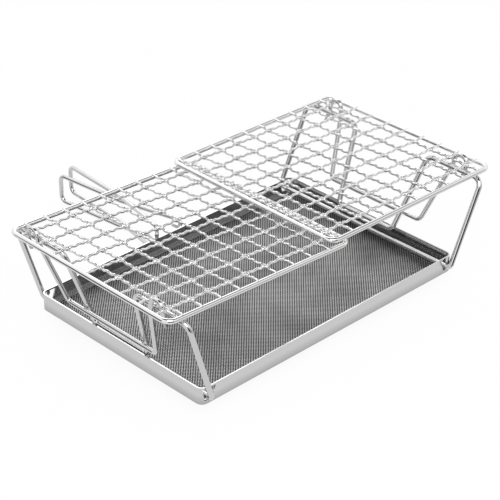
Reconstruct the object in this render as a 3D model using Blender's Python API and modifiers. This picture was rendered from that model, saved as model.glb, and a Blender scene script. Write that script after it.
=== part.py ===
"""Folding campfire grill: a shallow wire-mesh tray, two folding wire leg frames that carry two
overlapping crimped nets, and a two-hairpin wire handle. Metres, +Z up. The origin is the centre
of the underside of the tray's floor; +X runs along the tray, +Y points to the handle."""

import math

import bmesh
import bpy
from mathutils import Matrix, Vector

# Shared fits
TOUCH_GAP = 0.0003
CUT_OVERRUN = 0.002
LEFT = -1
RIGHT = 1

# Tray, a folded sheet frame with a fine woven floor
TRAY_LENGTH = 0.2125
TRAY_DEPTH = 0.1412
TRAY_HEIGHT = 0.011
TRAY_SHEET = 0.0008
TRAY_CORNER = 0.0042
FLANGE_WIDTH = 0.0036
FLOOR_THICKNESS = 0.0006
CORNER_STEPS = 5

# Leg frames, one closed loop of bent wire at each end
LEG_WIRE = 0.0035
LEG_LENGTH = 0.0583
LEFT_LEG_LEAN = math.radians(17.0)
RIGHT_LEG_LEAN = math.radians(25.5)
LEG_AXIS_HEIGHT = 0.0048
LEG_HALF_WIDTH = 0.074
LEG_TOP_BEND = 0.006
LEG_FOOT_BEND = 0.0026
INNER_TOP_HALF = 0.0306
INNER_FOOT_HALF = 0.023
INNER_FOOT_RISE = 0.006
INNER_TOP_BEND = 0.0056
INNER_FOOT_BEND = 0.0036

# Hook wires, welded to the outer side of the leg frames
HOOK_WIRE = 0.003
HOOK_BAR_RISE = 0.0184
HOOK_BAR_HALF = 0.0382
HOOK_TOP_HALF = 0.0475
HOOK_SHOULDER_RISE = 0.0012
HOOK_CREST_RISE = 0.0084
HOOK_CREST_OUT = 0.0013
HOOK_SPAN = 0.0083
HOOK_TAIL_DROP = 0.0066
HOOK_BEND = 0.0036
HOOK_SHOULDER_BEND = 0.003

# Slots in the long walls, where the leg wires pass through
SLOT_TOP_RIM = 0.0011
SLOT_FLOOR = 0.0024
SLOT_INNER_TOP = 0.0054
SLOT_INNER_FOOT = 0.003
SLOT_OUTER_TOP = 0.0038
SLOT_OUTER_FOOT = 0.0028
TONGUE_HALF_WIDTH = 0.0011

# Nets, crimped wire woven over and under, whose ends butt on the shoulder of a bent frame wire
NET_FRAME_WIRE = 0.0032
NET_WIRE = 0.0016
NET_FRAME_CORNER = 0.0058
COLUMN_COUNT = 10
COLUMN_PITCH = 0.01406
ROW_COUNT = 9
ROW_PITCH = 0.01438
NET_OUTER_MARGIN = 0.0105
NET_INNER_MARGIN = 0.003
NET_SIDE_MARGIN = 0.01004
NET_OVERHANG = 0.011
NET_SHIFT_Y = -0.0028
MESH_OVER_BAR = 0.0012
LEFT_NET_DROOP = math.radians(2.67)
NET_AXIS_RISE = 0.0048
NET_AXIS_OUT = -0.0004

# Handle, two hairpins that swing on upright pins behind the rear wall
HANDLE_WIRE = 0.0028
HANDLE_REACH = 0.1008
HANDLE_LOOP_HEIGHT = 0.019
HANDLE_STEP = 0.0016
HANDLE_ELBOW_REACH = 0.0466
HANDLE_ELBOW_OUT = 0.0034
HANDLE_ELBOW_BEND = 0.03
HANDLE_PIN_SPACING = 0.020
HANDLE_PIN_OUT = 0.0036
HANDLE_PIN_BEND = 0.0026
HANDLE_END_BEND = 0.0042
HANDLE_SWING_RIGHT = math.radians(9.6)
HANDLE_SWING_LEFT = math.radians(-6.9)
EYE_WIDTH = 0.009
EYE_SHEET = 0.001
EYE_LIP = 0.0034
EYE_TOP_DROP = 0.0006
PIN_TAIL = 0.0012
PIN_HOLE_CLEARANCE = 0.0003

# Facets of round wires: a resolution of 2 gives 8 sides, and 1 gives 6
STOUT_WIRE_RESOLUTION = 2
MESH_WIRE_RESOLUTION = 1
BEND_STEPS = 4

STEEL = ((0.62, 0.62, 0.61), 0.28)
WIRE_STEEL = ((0.66, 0.66, 0.65), 0.24)
NET_STEEL = ((0.70, 0.70, 0.69), 0.30)
FLOOR_STEEL = ((0.34, 0.34, 0.34), 0.45)


def clear_scene():
    for obj in list(bpy.data.objects):
        bpy.data.objects.remove(obj, do_unlink=True)


def make_collection(name):
    collection = bpy.data.collections.new(name)
    bpy.context.scene.collection.children.link(collection)
    return collection


def make_material(name, finish):
    colour, roughness = finish
    material = bpy.data.materials.new(name)
    material.use_nodes = True
    shader = material.node_tree.nodes["Principled BSDF"]
    shader.inputs["Base Color"].default_value = (*colour, 1.0)
    shader.inputs["Metallic"].default_value = 1.0
    shader.inputs["Roughness"].default_value = roughness
    return material


def add_object(name, data, finish, place, parent=None):
    """Links one part, with its own material, at its place in its parent's frame."""
    obj = bpy.data.objects.new(name, data)
    data.materials.append(make_material(name + "_finish", finish))
    parts.objects.link(obj)
    obj.parent = parent
    obj.matrix_local = place
    return obj


def add_pivot(name, place, parent=None):
    pivot = bpy.data.objects.new(name, None)
    parts.objects.link(pivot)
    pivot.parent = parent
    pivot.matrix_local = place
    return pivot


def rounded(points, radii, cyclic=True):
    """Replaces each corner by an arc of its radius, in BEND_STEPS steps."""
    result = []
    count = len(points)
    for index, (corner, radius) in enumerate(zip(points, radii)):
        if radius == 0 or (not cyclic and index in (0, count - 1)):
            result.append(corner)
            continue
        back = (points[index - 1] - corner).normalized()
        ahead = (points[(index + 1) % count] - corner).normalized()
        half = back.angle(ahead) / 2
        middle = corner + (back + ahead).normalized() * (radius / math.sin(half))
        start = corner + back * (radius / math.tan(half)) - middle
        finish = corner + ahead * (radius / math.tan(half)) - middle
        turn = start.angle(finish)
        for step in range(BEND_STEPS + 1):
            share = step / BEND_STEPS
            weight_start = math.sin((1 - share) * turn) / math.sin(turn)
            weight_finish = math.sin(share * turn) / math.sin(turn)
            result.append(middle + start * weight_start + finish * weight_finish)
    return result


def wire_curve(name, points, diameter, resolution, cyclic=False):
    """A round wire along straight stretches between points."""
    curve = bpy.data.curves.new(name, "CURVE")
    curve.dimensions = "3D"
    curve.bevel_depth = diameter / 2
    curve.bevel_resolution = resolution
    curve.use_fill_caps = True
    spline = curve.splines.new("POLY")
    spline.points.add(len(points) - 1)
    for place, point in zip(spline.points, points):
        place.co = (*point, 1.0)
    spline.use_cyclic_u = cyclic
    return curve


def rectangle_outline(half_x, half_y, corner):
    """A rounded rectangle, counter-clockwise from above."""
    outline = []
    for quarter in range(4):
        sign_x = 1 if quarter in (0, 3) else -1
        sign_y = 1 if quarter in (0, 1) else -1
        for step in range(CORNER_STEPS + 1):
            angle = (quarter + step / CORNER_STEPS) * math.pi / 2
            outline.append((
                sign_x * (half_x - corner) + corner * math.cos(angle),
                sign_y * (half_y - corner) + corner * math.sin(angle),
            ))
    return outline


def mesh_from_curve(obj, name):
    """The evaluated curve as a mesh object in the same place, with its caps welded."""
    bpy.context.view_layer.update()
    graph = bpy.context.evaluated_depsgraph_get()
    mesh = bpy.data.meshes.new_from_object(obj.evaluated_get(graph))
    mesh.name = name
    bm = bmesh.new()
    bm.from_mesh(mesh)
    bmesh.ops.remove_doubles(bm, verts=bm.verts, dist=WELD_DISTANCE)
    bmesh.ops.recalc_face_normals(bm, faces=bm.faces)
    bm.to_mesh(mesh)
    bm.free()
    return mesh


def flat_shape(outline, thickness):
    """A flat outline in the curve's own XY plane, thick on both sides of it."""
    curve = bpy.data.curves.new("outline", "CURVE")
    curve.dimensions = "2D"
    curve.fill_mode = "BOTH"
    curve.extrude = thickness / 2
    spline = curve.splines.new("POLY")
    spline.points.add(len(outline) - 1)
    for place, (x, y) in zip(spline.points, outline):
        place.co = (x, y, 0.0, 1.0)
    spline.use_cyclic_u = True
    helper = bpy.data.objects.new("outline_helper", curve)
    cutters.objects.link(helper)
    mesh = mesh_from_curve(helper, "outline_mesh")
    bpy.data.objects.remove(helper, do_unlink=True)
    return mesh


def add_cutter(name, mesh, place):
    cutter = bpy.data.objects.new(name, mesh)
    cutters.objects.link(cutter)
    cutter.matrix_world = place
    cutter.hide_render = True
    cutter.display_type = "WIRE"
    return cutter


def cut(obj, cutter):
    modifier = obj.modifiers.new(cutter.name, "BOOLEAN")
    modifier.operation = "DIFFERENCE"
    modifier.solver = "EXACT"
    modifier.object = cutter


def pin_cutter(name, radius, length, place):
    bm = bmesh.new()
    bmesh.ops.create_cone(
        bm, cap_ends=True, segments=PIN_HOLE_SIDES, radius1=radius, radius2=radius, depth=length
    )
    mesh = bpy.data.meshes.new(name)
    bm.to_mesh(mesh)
    bm.free()
    return add_cutter(name, mesh, place)


# Values worked out from the sizes above
WELD_DISTANCE = TOUCH_GAP / 100
PIN_HOLE_SIDES = 16
LEG_RADIUS = LEG_WIRE / 2
HOOK_RADIUS = HOOK_WIRE / 2
NET_FRAME_RADIUS = NET_FRAME_WIRE / 2
NET_WIRE_RADIUS = NET_WIRE / 2
HANDLE_RADIUS = HANDLE_WIRE / 2
WALL_INNER_X = TRAY_LENGTH / 2 - TRAY_SHEET
WALL_OUTER_Y = TRAY_DEPTH / 2
WALL_ABOVE_AXIS = TRAY_HEIGHT - LEG_AXIS_HEIGHT
HOOK_OFFSET = LEG_RADIUS + TOUCH_GAP + HOOK_RADIUS
WEAVE_HEIGHT = NET_WIRE_RADIUS + TOUCH_GAP / 2
# Heights above the top run of a leg frame, square to the net
FRAME_BAR_RISE = LEG_RADIUS + TOUCH_GAP + NET_FRAME_RADIUS
MESH_RISE = FRAME_BAR_RISE + MESH_OVER_BAR
# A mesh wire stops this far short of the middle of the frame wire
WIRE_END_STOP = math.sqrt(
    (NET_FRAME_RADIUS + TOUCH_GAP) ** 2 - max(0.0, MESH_OVER_BAR - NET_WIRE_RADIUS) ** 2
)
MESH_HALF_THICKNESS = WEAVE_HEIGHT + NET_WIRE_RADIUS
COLUMNS_LENGTH = (COLUMN_COUNT - 1) * COLUMN_PITCH
ROWS_LENGTH = (ROW_COUNT - 1) * ROW_PITCH
NET_LENGTH = NET_OUTER_MARGIN + COLUMNS_LENGTH + NET_INNER_MARGIN
NET_DEPTH = ROWS_LENGTH + 2 * NET_SIDE_MARGIN


def leg_lean(side):
    return LEFT_LEG_LEAN if side == LEFT else RIGHT_LEG_LEAN


def leg_axis_x(side):
    """The inner loop leans on the top edge of the short wall, which stops the frame. The base run
    has some play along its slot, so the frame that leans more lies further in."""
    lean = leg_lean(side)
    reach_at_rim = WALL_ABOVE_AXIS * math.tan(lean) + LEG_RADIUS / math.cos(lean)
    return WALL_INNER_X - TOUCH_GAP - reach_at_rim


def slot_x():
    return (leg_axis_x(LEFT) + leg_axis_x(RIGHT)) / 2


def leg_top_x(side):
    """How far the top run of a leg frame lies from the middle of the grill."""
    return leg_axis_x(side) + LEG_LENGTH * math.sin(leg_lean(side))


def right_net_rise():
    """The tilt that lays the right net's free end on the left net."""
    reach = NET_LENGTH - NET_OVERHANG
    spread = leg_top_x(LEFT) + leg_top_x(RIGHT)
    step = LEG_LENGTH * (math.cos(RIGHT_LEG_LEAN) - math.cos(LEFT_LEG_LEAN))
    bar_height = MESH_RISE + MESH_HALF_THICKNESS + TOUCH_GAP + NET_FRAME_RADIUS
    climb = bar_height - spread * math.sin(LEFT_NET_DROOP) - step * math.cos(LEFT_NET_DROOP)
    across = math.hypot(reach, FRAME_BAR_RISE)
    return LEFT_NET_DROOP + math.asin(climb / across) - math.atan2(FRAME_BAR_RISE, reach)


def slot_outline(inboard):
    """One slot in a long wall, seen from outside: a funnel with a tongue that keeps the wire down.
    Its middle is the leg's axis, and inboard is the sign of the way to the grill's middle."""
    top = TRAY_HEIGHT - SLOT_TOP_RIM - LEG_AXIS_HEIGHT
    foot = SLOT_FLOOR - LEG_AXIS_HEIGHT
    tongue_tip = LEG_RADIUS + TOUCH_GAP
    tongue_shoulder = tongue_tip + TONGUE_HALF_WIDTH
    points = [
        (SLOT_INNER_TOP, top),
        (SLOT_INNER_FOOT, foot),
        (-SLOT_OUTER_FOOT, foot),
        (-SLOT_OUTER_TOP, top),
        (-TONGUE_HALF_WIDTH, top),
        (-TONGUE_HALF_WIDTH, tongue_shoulder),
        (0.0, tongue_tip),
        (TONGUE_HALF_WIDTH, tongue_shoulder),
        (TONGUE_HALF_WIDTH, top),
    ]
    return [(inboard * x, z) for x, z in points]


def build_tray_frame():
    """The sheet frame: four walls and a narrow flange under them, folded from one strip."""
    outer = rectangle_outline(TRAY_LENGTH / 2, TRAY_DEPTH / 2, TRAY_CORNER)
    inner = rectangle_outline(
        TRAY_LENGTH / 2 - FLANGE_WIDTH,
        TRAY_DEPTH / 2 - FLANGE_WIDTH,
        TRAY_CORNER - FLANGE_WIDTH,
    )
    bm = bmesh.new()
    foot = [bm.verts.new((x, y, 0.0)) for x, y in outer]
    edges = [bm.edges.new((a, b)) for a, b in zip(foot, foot[1:] + foot[:1])]
    rim = bmesh.ops.extrude_edge_only(bm, edges=edges)["geom"]
    rim_verts = [item for item in rim if isinstance(item, bmesh.types.BMVert)]
    bmesh.ops.translate(bm, verts=rim_verts, vec=(0.0, 0.0, TRAY_HEIGHT))
    lips = [bm.verts.new((x, y, 0.0)) for x, y in inner]
    for a, b, c, d in zip(foot, foot[1:] + foot[:1], lips[1:] + lips[:1], lips):
        bm.faces.new((a, d, c, b))
    bmesh.ops.recalc_face_normals(bm, faces=bm.faces)
    wall = max(bm.faces, key=lambda face: face.calc_center_median().z)
    if wall.normal.dot(wall.calc_center_median()) < 0:
        bmesh.ops.reverse_faces(bm, faces=bm.faces)
    mesh = bpy.data.meshes.new("tray_frame")
    bm.to_mesh(mesh)
    bm.free()
    obj = add_object("tray_frame", mesh, STEEL, Matrix.Identity(4))
    solidify = obj.modifiers.new("sheet", "SOLIDIFY")
    solidify.thickness = TRAY_SHEET
    solidify.offset = -1.0
    solidify.use_even_offset = True
    for end in (LEFT, RIGHT):
        for side in (-1, 1):
            shape = flat_shape(slot_outline(-end), TRAY_SHEET + 2 * CUT_OVERRUN)
            middle_y = side * (WALL_OUTER_Y - TRAY_SHEET / 2)
            place = Matrix.Translation((end * slot_x(), middle_y, LEG_AXIS_HEIGHT))
            upright = Matrix.Rotation(math.pi / 2, 4, "X")
            name = f"slot_{'left' if end == LEFT else 'right'}_{'front' if side < 0 else 'rear'}"
            cut(obj, add_cutter(name, shape, place @ upright))
    return obj


def build_mesh_floor():
    """The woven floor, a thin sheet inside the flange, flush with its underside."""
    margin = FLANGE_WIDTH + TOUCH_GAP
    outline = rectangle_outline(
        TRAY_LENGTH / 2 - margin, TRAY_DEPTH / 2 - margin, TRAY_CORNER - FLANGE_WIDTH
    )
    mesh = flat_shape(outline, FLOOR_THICKNESS)
    place = Matrix.Translation((0.0, 0.0, FLOOR_THICKNESS / 2))
    return add_object("mesh_floor", mesh, FLOOR_STEEL, place)


def side_name(side):
    return "left" if side == LEFT else "right"


def build_leg_frame(side):
    """A closed wire loop: base run through the tray, uprights, top runs and the inner loop."""
    name = side_name(side) + "_leg_frame"
    outline = [
        (-LEG_HALF_WIDTH, 0.0, LEG_FOOT_BEND),
        (LEG_HALF_WIDTH, 0.0, LEG_FOOT_BEND),
        (LEG_HALF_WIDTH, LEG_LENGTH, LEG_TOP_BEND),
        (INNER_TOP_HALF, LEG_LENGTH, INNER_TOP_BEND),
        (INNER_FOOT_HALF, INNER_FOOT_RISE, INNER_FOOT_BEND),
        (-INNER_FOOT_HALF, INNER_FOOT_RISE, INNER_FOOT_BEND),
        (-INNER_TOP_HALF, LEG_LENGTH, INNER_TOP_BEND),
        (-LEG_HALF_WIDTH, LEG_LENGTH, LEG_TOP_BEND),
    ]
    corners = [Vector((0.0, y, rise)) for y, rise, _ in outline]
    points = rounded(corners, [bend for _, _, bend in outline])
    curve = wire_curve(name, points, LEG_WIRE, STOUT_WIRE_RESOLUTION, cyclic=True)
    place = Matrix.Translation((side * leg_axis_x(side), 0.0, LEG_AXIS_HEIGHT))
    lean = Matrix.Rotation(side * leg_lean(side), 4, "Y")
    return add_object(name, curve, WIRE_STEEL, place @ lean)


def build_hook_wire(side, leg):
    """A second wire on the outer side of the leg frame, whose ends arch over the net."""
    name = side_name(side) + "_hook_wire"
    spread = (HOOK_TOP_HALF - HOOK_BAR_HALF) / (LEG_LENGTH - HOOK_BAR_RISE)
    crest = LEG_LENGTH + HOOK_CREST_RISE
    inner = HOOK_TOP_HALF + spread * HOOK_CREST_RISE
    outer = inner + HOOK_SPAN
    shoulder = LEG_LENGTH + HOOK_SHOULDER_RISE
    half = [
        (HOOK_OFFSET, outer, LEG_LENGTH - HOOK_TAIL_DROP, 0.0),
        (HOOK_OFFSET, outer, shoulder, HOOK_SHOULDER_BEND),
        (HOOK_CREST_OUT, outer, crest, HOOK_BEND),
        (HOOK_CREST_OUT, inner, crest, HOOK_BEND),
        (HOOK_OFFSET, HOOK_TOP_HALF + spread * HOOK_SHOULDER_RISE, shoulder, HOOK_SHOULDER_BEND),
        (HOOK_OFFSET, HOOK_BAR_HALF, HOOK_BAR_RISE, HOOK_BEND),
    ]
    outline = half + [(out, -y, rise, bend) for out, y, rise, bend in reversed(half)]
    corners = [Vector((side * out, y, rise)) for out, y, rise, _ in outline]
    points = rounded(corners, [bend for *_, bend in outline], cyclic=False)
    curve = wire_curve(name, points, HOOK_WIRE, STOUT_WIRE_RESOLUTION)
    return add_object(name, curve, WIRE_STEEL, Matrix.Identity(4), leg)


def build_net_pivot(side, leg):
    """The empty on the net's hinge axis, in the leg frame's own frame."""
    tilt = -LEFT_NET_DROOP if side == LEFT else right_net_rise()
    turn = Matrix.Rotation(-side * leg_lean(side) + side * tilt, 4, "Y")
    place = Matrix.Translation((side * NET_AXIS_OUT, 0.0, LEG_LENGTH + NET_AXIS_RISE))
    return add_pivot(side_name(side) + "_net_pivot", place @ turn, leg), tilt


def net_origin(side, tilt):
    """Where the leg's top run lies, seen from the net's own frame on its hinge axis."""
    to_run = Vector((-side * NET_AXIS_OUT, 0.0, -NET_AXIS_RISE))
    return Matrix.Rotation(side * leg_lean(side) - side * tilt, 4, "Y") @ to_run


def net_frame_outline(side, run):
    outer_x = run.x + side * NET_OVERHANG
    inner_x = outer_x - side * NET_LENGTH
    return outer_x, inner_x, NET_SHIFT_Y - NET_DEPTH / 2, NET_SHIFT_Y + NET_DEPTH / 2


def build_net_frame(side, pivot, run):
    name = side_name(side) + "_net_frame"
    outer_x, inner_x, front_y, rear_y = net_frame_outline(side, run)
    height = run.z + FRAME_BAR_RISE
    corners = [
        Vector((outer_x, front_y, height)),
        Vector((outer_x, rear_y, height)),
        Vector((inner_x, rear_y, height)),
        Vector((inner_x, front_y, height)),
    ]
    points = rounded(corners, [NET_FRAME_CORNER] * len(corners))
    curve = wire_curve(name, points, NET_FRAME_WIRE, STOUT_WIRE_RESOLUTION, cyclic=True)
    return add_object(name, curve, NET_STEEL, Matrix.Identity(4), pivot)


def wire_end_inset(distance):
    """How far from the frame's outline a mesh wire ends that runs at this distance from the next
    bar. Near a corner it ends sooner, where the bar curves across its way."""
    across = max(0.0, NET_FRAME_CORNER + NET_WIRE_RADIUS - distance)
    inner_radius = NET_FRAME_CORNER - WIRE_END_STOP
    return NET_FRAME_CORNER - math.sqrt(max(0.0, inner_radius**2 - across**2))


def row_place(row):
    return NET_SHIFT_Y + ROWS_LENGTH / 2 - row * ROW_PITCH


def build_net_wires(side, pivot, run):
    """The woven wires. Rows run along X and columns along Y, and each passes over one and
    under the next; where a row is up, the column it crosses is down."""
    outer_x, inner_x, front_y, rear_y = net_frame_outline(side, run)
    middle = run.z + MESH_RISE
    first_x = outer_x - side * NET_OUTER_MARGIN
    column_x = [first_x - side * index * COLUMN_PITCH for index in range(COLUMN_COUNT)]
    for row in range(ROW_COUNT):
        y = row_place(row)
        points = [Vector((outer_x - side * WIRE_END_STOP, y, middle))]
        for column, x in enumerate(column_x):
            height = WEAVE_HEIGHT if (row + column) % 2 else -WEAVE_HEIGHT
            points.append(Vector((x, y, middle + height)))
        points.append(Vector((inner_x + side * WIRE_END_STOP, y, middle)))
        name = f"{side_name(side)}_net_row_{row + 1}"
        curve = wire_curve(name, points, NET_WIRE, MESH_WIRE_RESOLUTION)
        add_object(name, curve, NET_STEEL, Matrix.Identity(4), pivot)
    for column, x in enumerate(column_x):
        inset = wire_end_inset(abs(x - inner_x))
        points = [Vector((x, rear_y - inset, middle))]
        for row in range(ROW_COUNT):
            height = -WEAVE_HEIGHT if (row + column) % 2 else WEAVE_HEIGHT
            points.append(Vector((x, row_place(row), middle + height)))
        points.append(Vector((x, front_y + inset, middle)))
        name = f"{side_name(side)}_net_column_{column + 1}"
        curve = wire_curve(name, points, NET_WIRE, MESH_WIRE_RESOLUTION)
        add_object(name, curve, NET_STEEL, Matrix.Identity(4), pivot)


def pin_place(side):
    """A handle pin's axis behind the rear wall."""
    return Vector((side * HANDLE_PIN_SPACING / 2, WALL_OUTER_Y + HANDLE_PIN_OUT, 0.0))


def eye_heights():
    """The underside of the lower ear and the top of the upper one."""
    return 0.0, TRAY_HEIGHT - EYE_TOP_DROP


def build_handle_eye(side):
    """A folded bracket on the rear wall, with two pierced ears for the hairpin's ends."""
    name = side_name(side) + "_handle_eye"
    low, high = eye_heights()
    back = WALL_OUTER_Y + TOUCH_GAP
    reach = pin_place(side).y + EYE_LIP
    outline = [
        (back, low),
        (reach, low),
        (reach, low + EYE_SHEET),
        (back + EYE_SHEET, low + EYE_SHEET),
        (back + EYE_SHEET, high - EYE_SHEET),
        (reach, high - EYE_SHEET),
        (reach, high),
        (back, high),
    ]
    mesh = flat_shape(outline, EYE_WIDTH)
    stand = Matrix.Rotation(math.pi / 2, 4, "Z") @ Matrix.Rotation(math.pi / 2, 4, "X")
    place = Matrix.Translation((pin_place(side).x, 0.0, 0.0)) @ stand
    obj = add_object(name, mesh, STEEL, place)
    hole = HANDLE_RADIUS + PIN_HOLE_CLEARANCE
    axis = pin_place(side) + Vector((0.0, 0.0, (low + high) / 2))
    length = high - low + 2 * CUT_OVERRUN
    cut(obj, pin_cutter(name + "_hole", hole, length, Matrix.Translation(axis)))
    return obj


def build_handle(side):
    """One hairpin of the handle. Its ends turn in through the ears, and its loop stands
    upright. The left one sits one step higher, so that the two can cross at their elbows."""
    name = side_name(side) + "_handle"
    low, high = eye_heights()
    middle = TRAY_HEIGHT / 2 + (HANDLE_STEP if side == LEFT else -HANDLE_STEP)
    top = middle + HANDLE_LOOP_HEIGHT / 2
    bottom = middle - HANDLE_LOOP_HEIGHT / 2
    elbow = -side * HANDLE_ELBOW_OUT
    outline = [
        (0.0, 0.0, high - EYE_SHEET - PIN_TAIL, 0.0),
        (0.0, 0.0, top, HANDLE_PIN_BEND),
        (elbow, HANDLE_ELBOW_REACH, top, HANDLE_ELBOW_BEND),
        (0.0, HANDLE_REACH, top, HANDLE_END_BEND),
        (0.0, HANDLE_REACH, bottom, HANDLE_END_BEND),
        (elbow, HANDLE_ELBOW_REACH, bottom, HANDLE_ELBOW_BEND),
        (0.0, 0.0, bottom, HANDLE_PIN_BEND),
        (0.0, 0.0, low + EYE_SHEET + PIN_TAIL, 0.0),
    ]
    corners = [Vector(corner[:3]) for corner in outline]
    bends = [corner[3] for corner in outline]
    points = rounded(corners, bends, cyclic=False)
    curve = wire_curve(name, points, HANDLE_WIRE, STOUT_WIRE_RESOLUTION)
    swing = HANDLE_SWING_RIGHT if side == RIGHT else HANDLE_SWING_LEFT
    place = Matrix.Translation(pin_place(side)) @ Matrix.Rotation(swing, 4, "Z")
    return add_object(name, curve, WIRE_STEEL, place)


def build_end(side):
    """One end of the grill: leg frame, hook wire and net."""
    leg = build_leg_frame(side)
    build_hook_wire(side, leg)
    pivot, tilt = build_net_pivot(side, leg)
    run = net_origin(side, tilt)
    build_net_frame(side, pivot, run)
    build_net_wires(side, pivot, run)
    bpy.context.view_layer.update()
    print(side_name(side), "leg axis", tuple(round(v, 5) for v in leg.matrix_world.translation))
    print(side_name(side), "net axis", tuple(round(v, 5) for v in pivot.matrix_world.translation))
    return leg


clear_scene()
parts = make_collection("folding_campfire_grill")
cutters = make_collection("cutters")
build_tray_frame()
build_mesh_floor()
print("right net rise", round(math.degrees(right_net_rise()), 4), "slot x", round(slot_x(), 6))
for end_side in (LEFT, RIGHT):
    build_end(end_side)
    build_handle_eye(end_side)
    build_handle(end_side)
    print(side_name(end_side), "handle pin", tuple(round(v, 5) for v in pin_place(end_side)))
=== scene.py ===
"""Folding campfire grill: smooth wires, crimped nets, woven floor, finishes, stage and camera.
It dresses the packed model. Lengths are in metres, +X runs along the tray, +Y to the handle."""

import math

import bmesh
import bpy
from mathutils import Matrix, Vector


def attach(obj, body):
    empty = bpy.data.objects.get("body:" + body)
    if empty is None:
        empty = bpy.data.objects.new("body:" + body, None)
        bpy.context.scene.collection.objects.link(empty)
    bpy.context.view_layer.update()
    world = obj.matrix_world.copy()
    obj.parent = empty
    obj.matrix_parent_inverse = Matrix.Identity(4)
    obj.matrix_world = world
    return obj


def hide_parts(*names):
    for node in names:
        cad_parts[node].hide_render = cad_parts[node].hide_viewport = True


bl_info = {
    "name": "Folding campfire grill",
    "version": (1, 0, 0),
    "blender": (4, 5, 0),
    "location": "View3D > Sidebar > Grill",
    "description": "Builds the wires, nets, woven floor, finishes and stage of a folding grill",
    "category": "Object",
}

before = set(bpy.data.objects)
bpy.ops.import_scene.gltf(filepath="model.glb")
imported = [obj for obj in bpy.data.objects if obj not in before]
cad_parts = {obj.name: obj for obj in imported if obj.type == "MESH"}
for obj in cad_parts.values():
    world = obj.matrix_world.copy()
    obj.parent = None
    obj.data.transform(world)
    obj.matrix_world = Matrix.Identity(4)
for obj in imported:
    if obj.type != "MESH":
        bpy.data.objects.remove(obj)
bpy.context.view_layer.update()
LEFT = -1
RIGHT = 1
SIDE_NAMES = {LEFT: "left", RIGHT: "right"}
MM = 0.001
WHITE = (1.0, 1.0, 1.0, 1.0)
# Faces round a wire, turn from ring to ring in a bend, and rings per half wave of a crimp
WIRE_SIDES = 12
BEND_STEP = math.radians(11.0)
CRIMP_SAMPLES = 4
# A crimped wire's end: its waves fade over so many diameters, and this share stays flat
FADE_LENGTH = 2.2
FLAT_SHARE = 0.4
# A Mix node's sockets for numbers and for colours share their names, so they go by index
MIX_FACTOR, MIX_A, MIX_B, MIX_RESULT = 0, 2, 3, 0
MIX_COLOUR_A, MIX_COLOUR_B, MIX_COLOUR_RESULT = 6, 7, 2
# Finishes, named for what the real ones are
LEG_WIRE = "drawn_stainless_leg_wire"
HANDLE_WIRE = "drawn_stainless_handle_wire"
NET_WIRE = "crimped_stainless_net_wire"
SHEET = "brushed_stainless_sheet"
CLOTH = "woven_stainless_cloth"
WIRE_ROUGHNESS = {LEG_WIRE: 0.13, HANDLE_WIRE: 0.16, NET_WIRE: 0.1}
# Lamps: name, place, width and watts
SOFTBOXES = (
    ("key_softbox", (-0.5, -0.75, 1.1), 0.7, 6.0),
    ("rear_softbox", (0.7, 0.9, 0.9), 0.6, 1.6),
)


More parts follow.
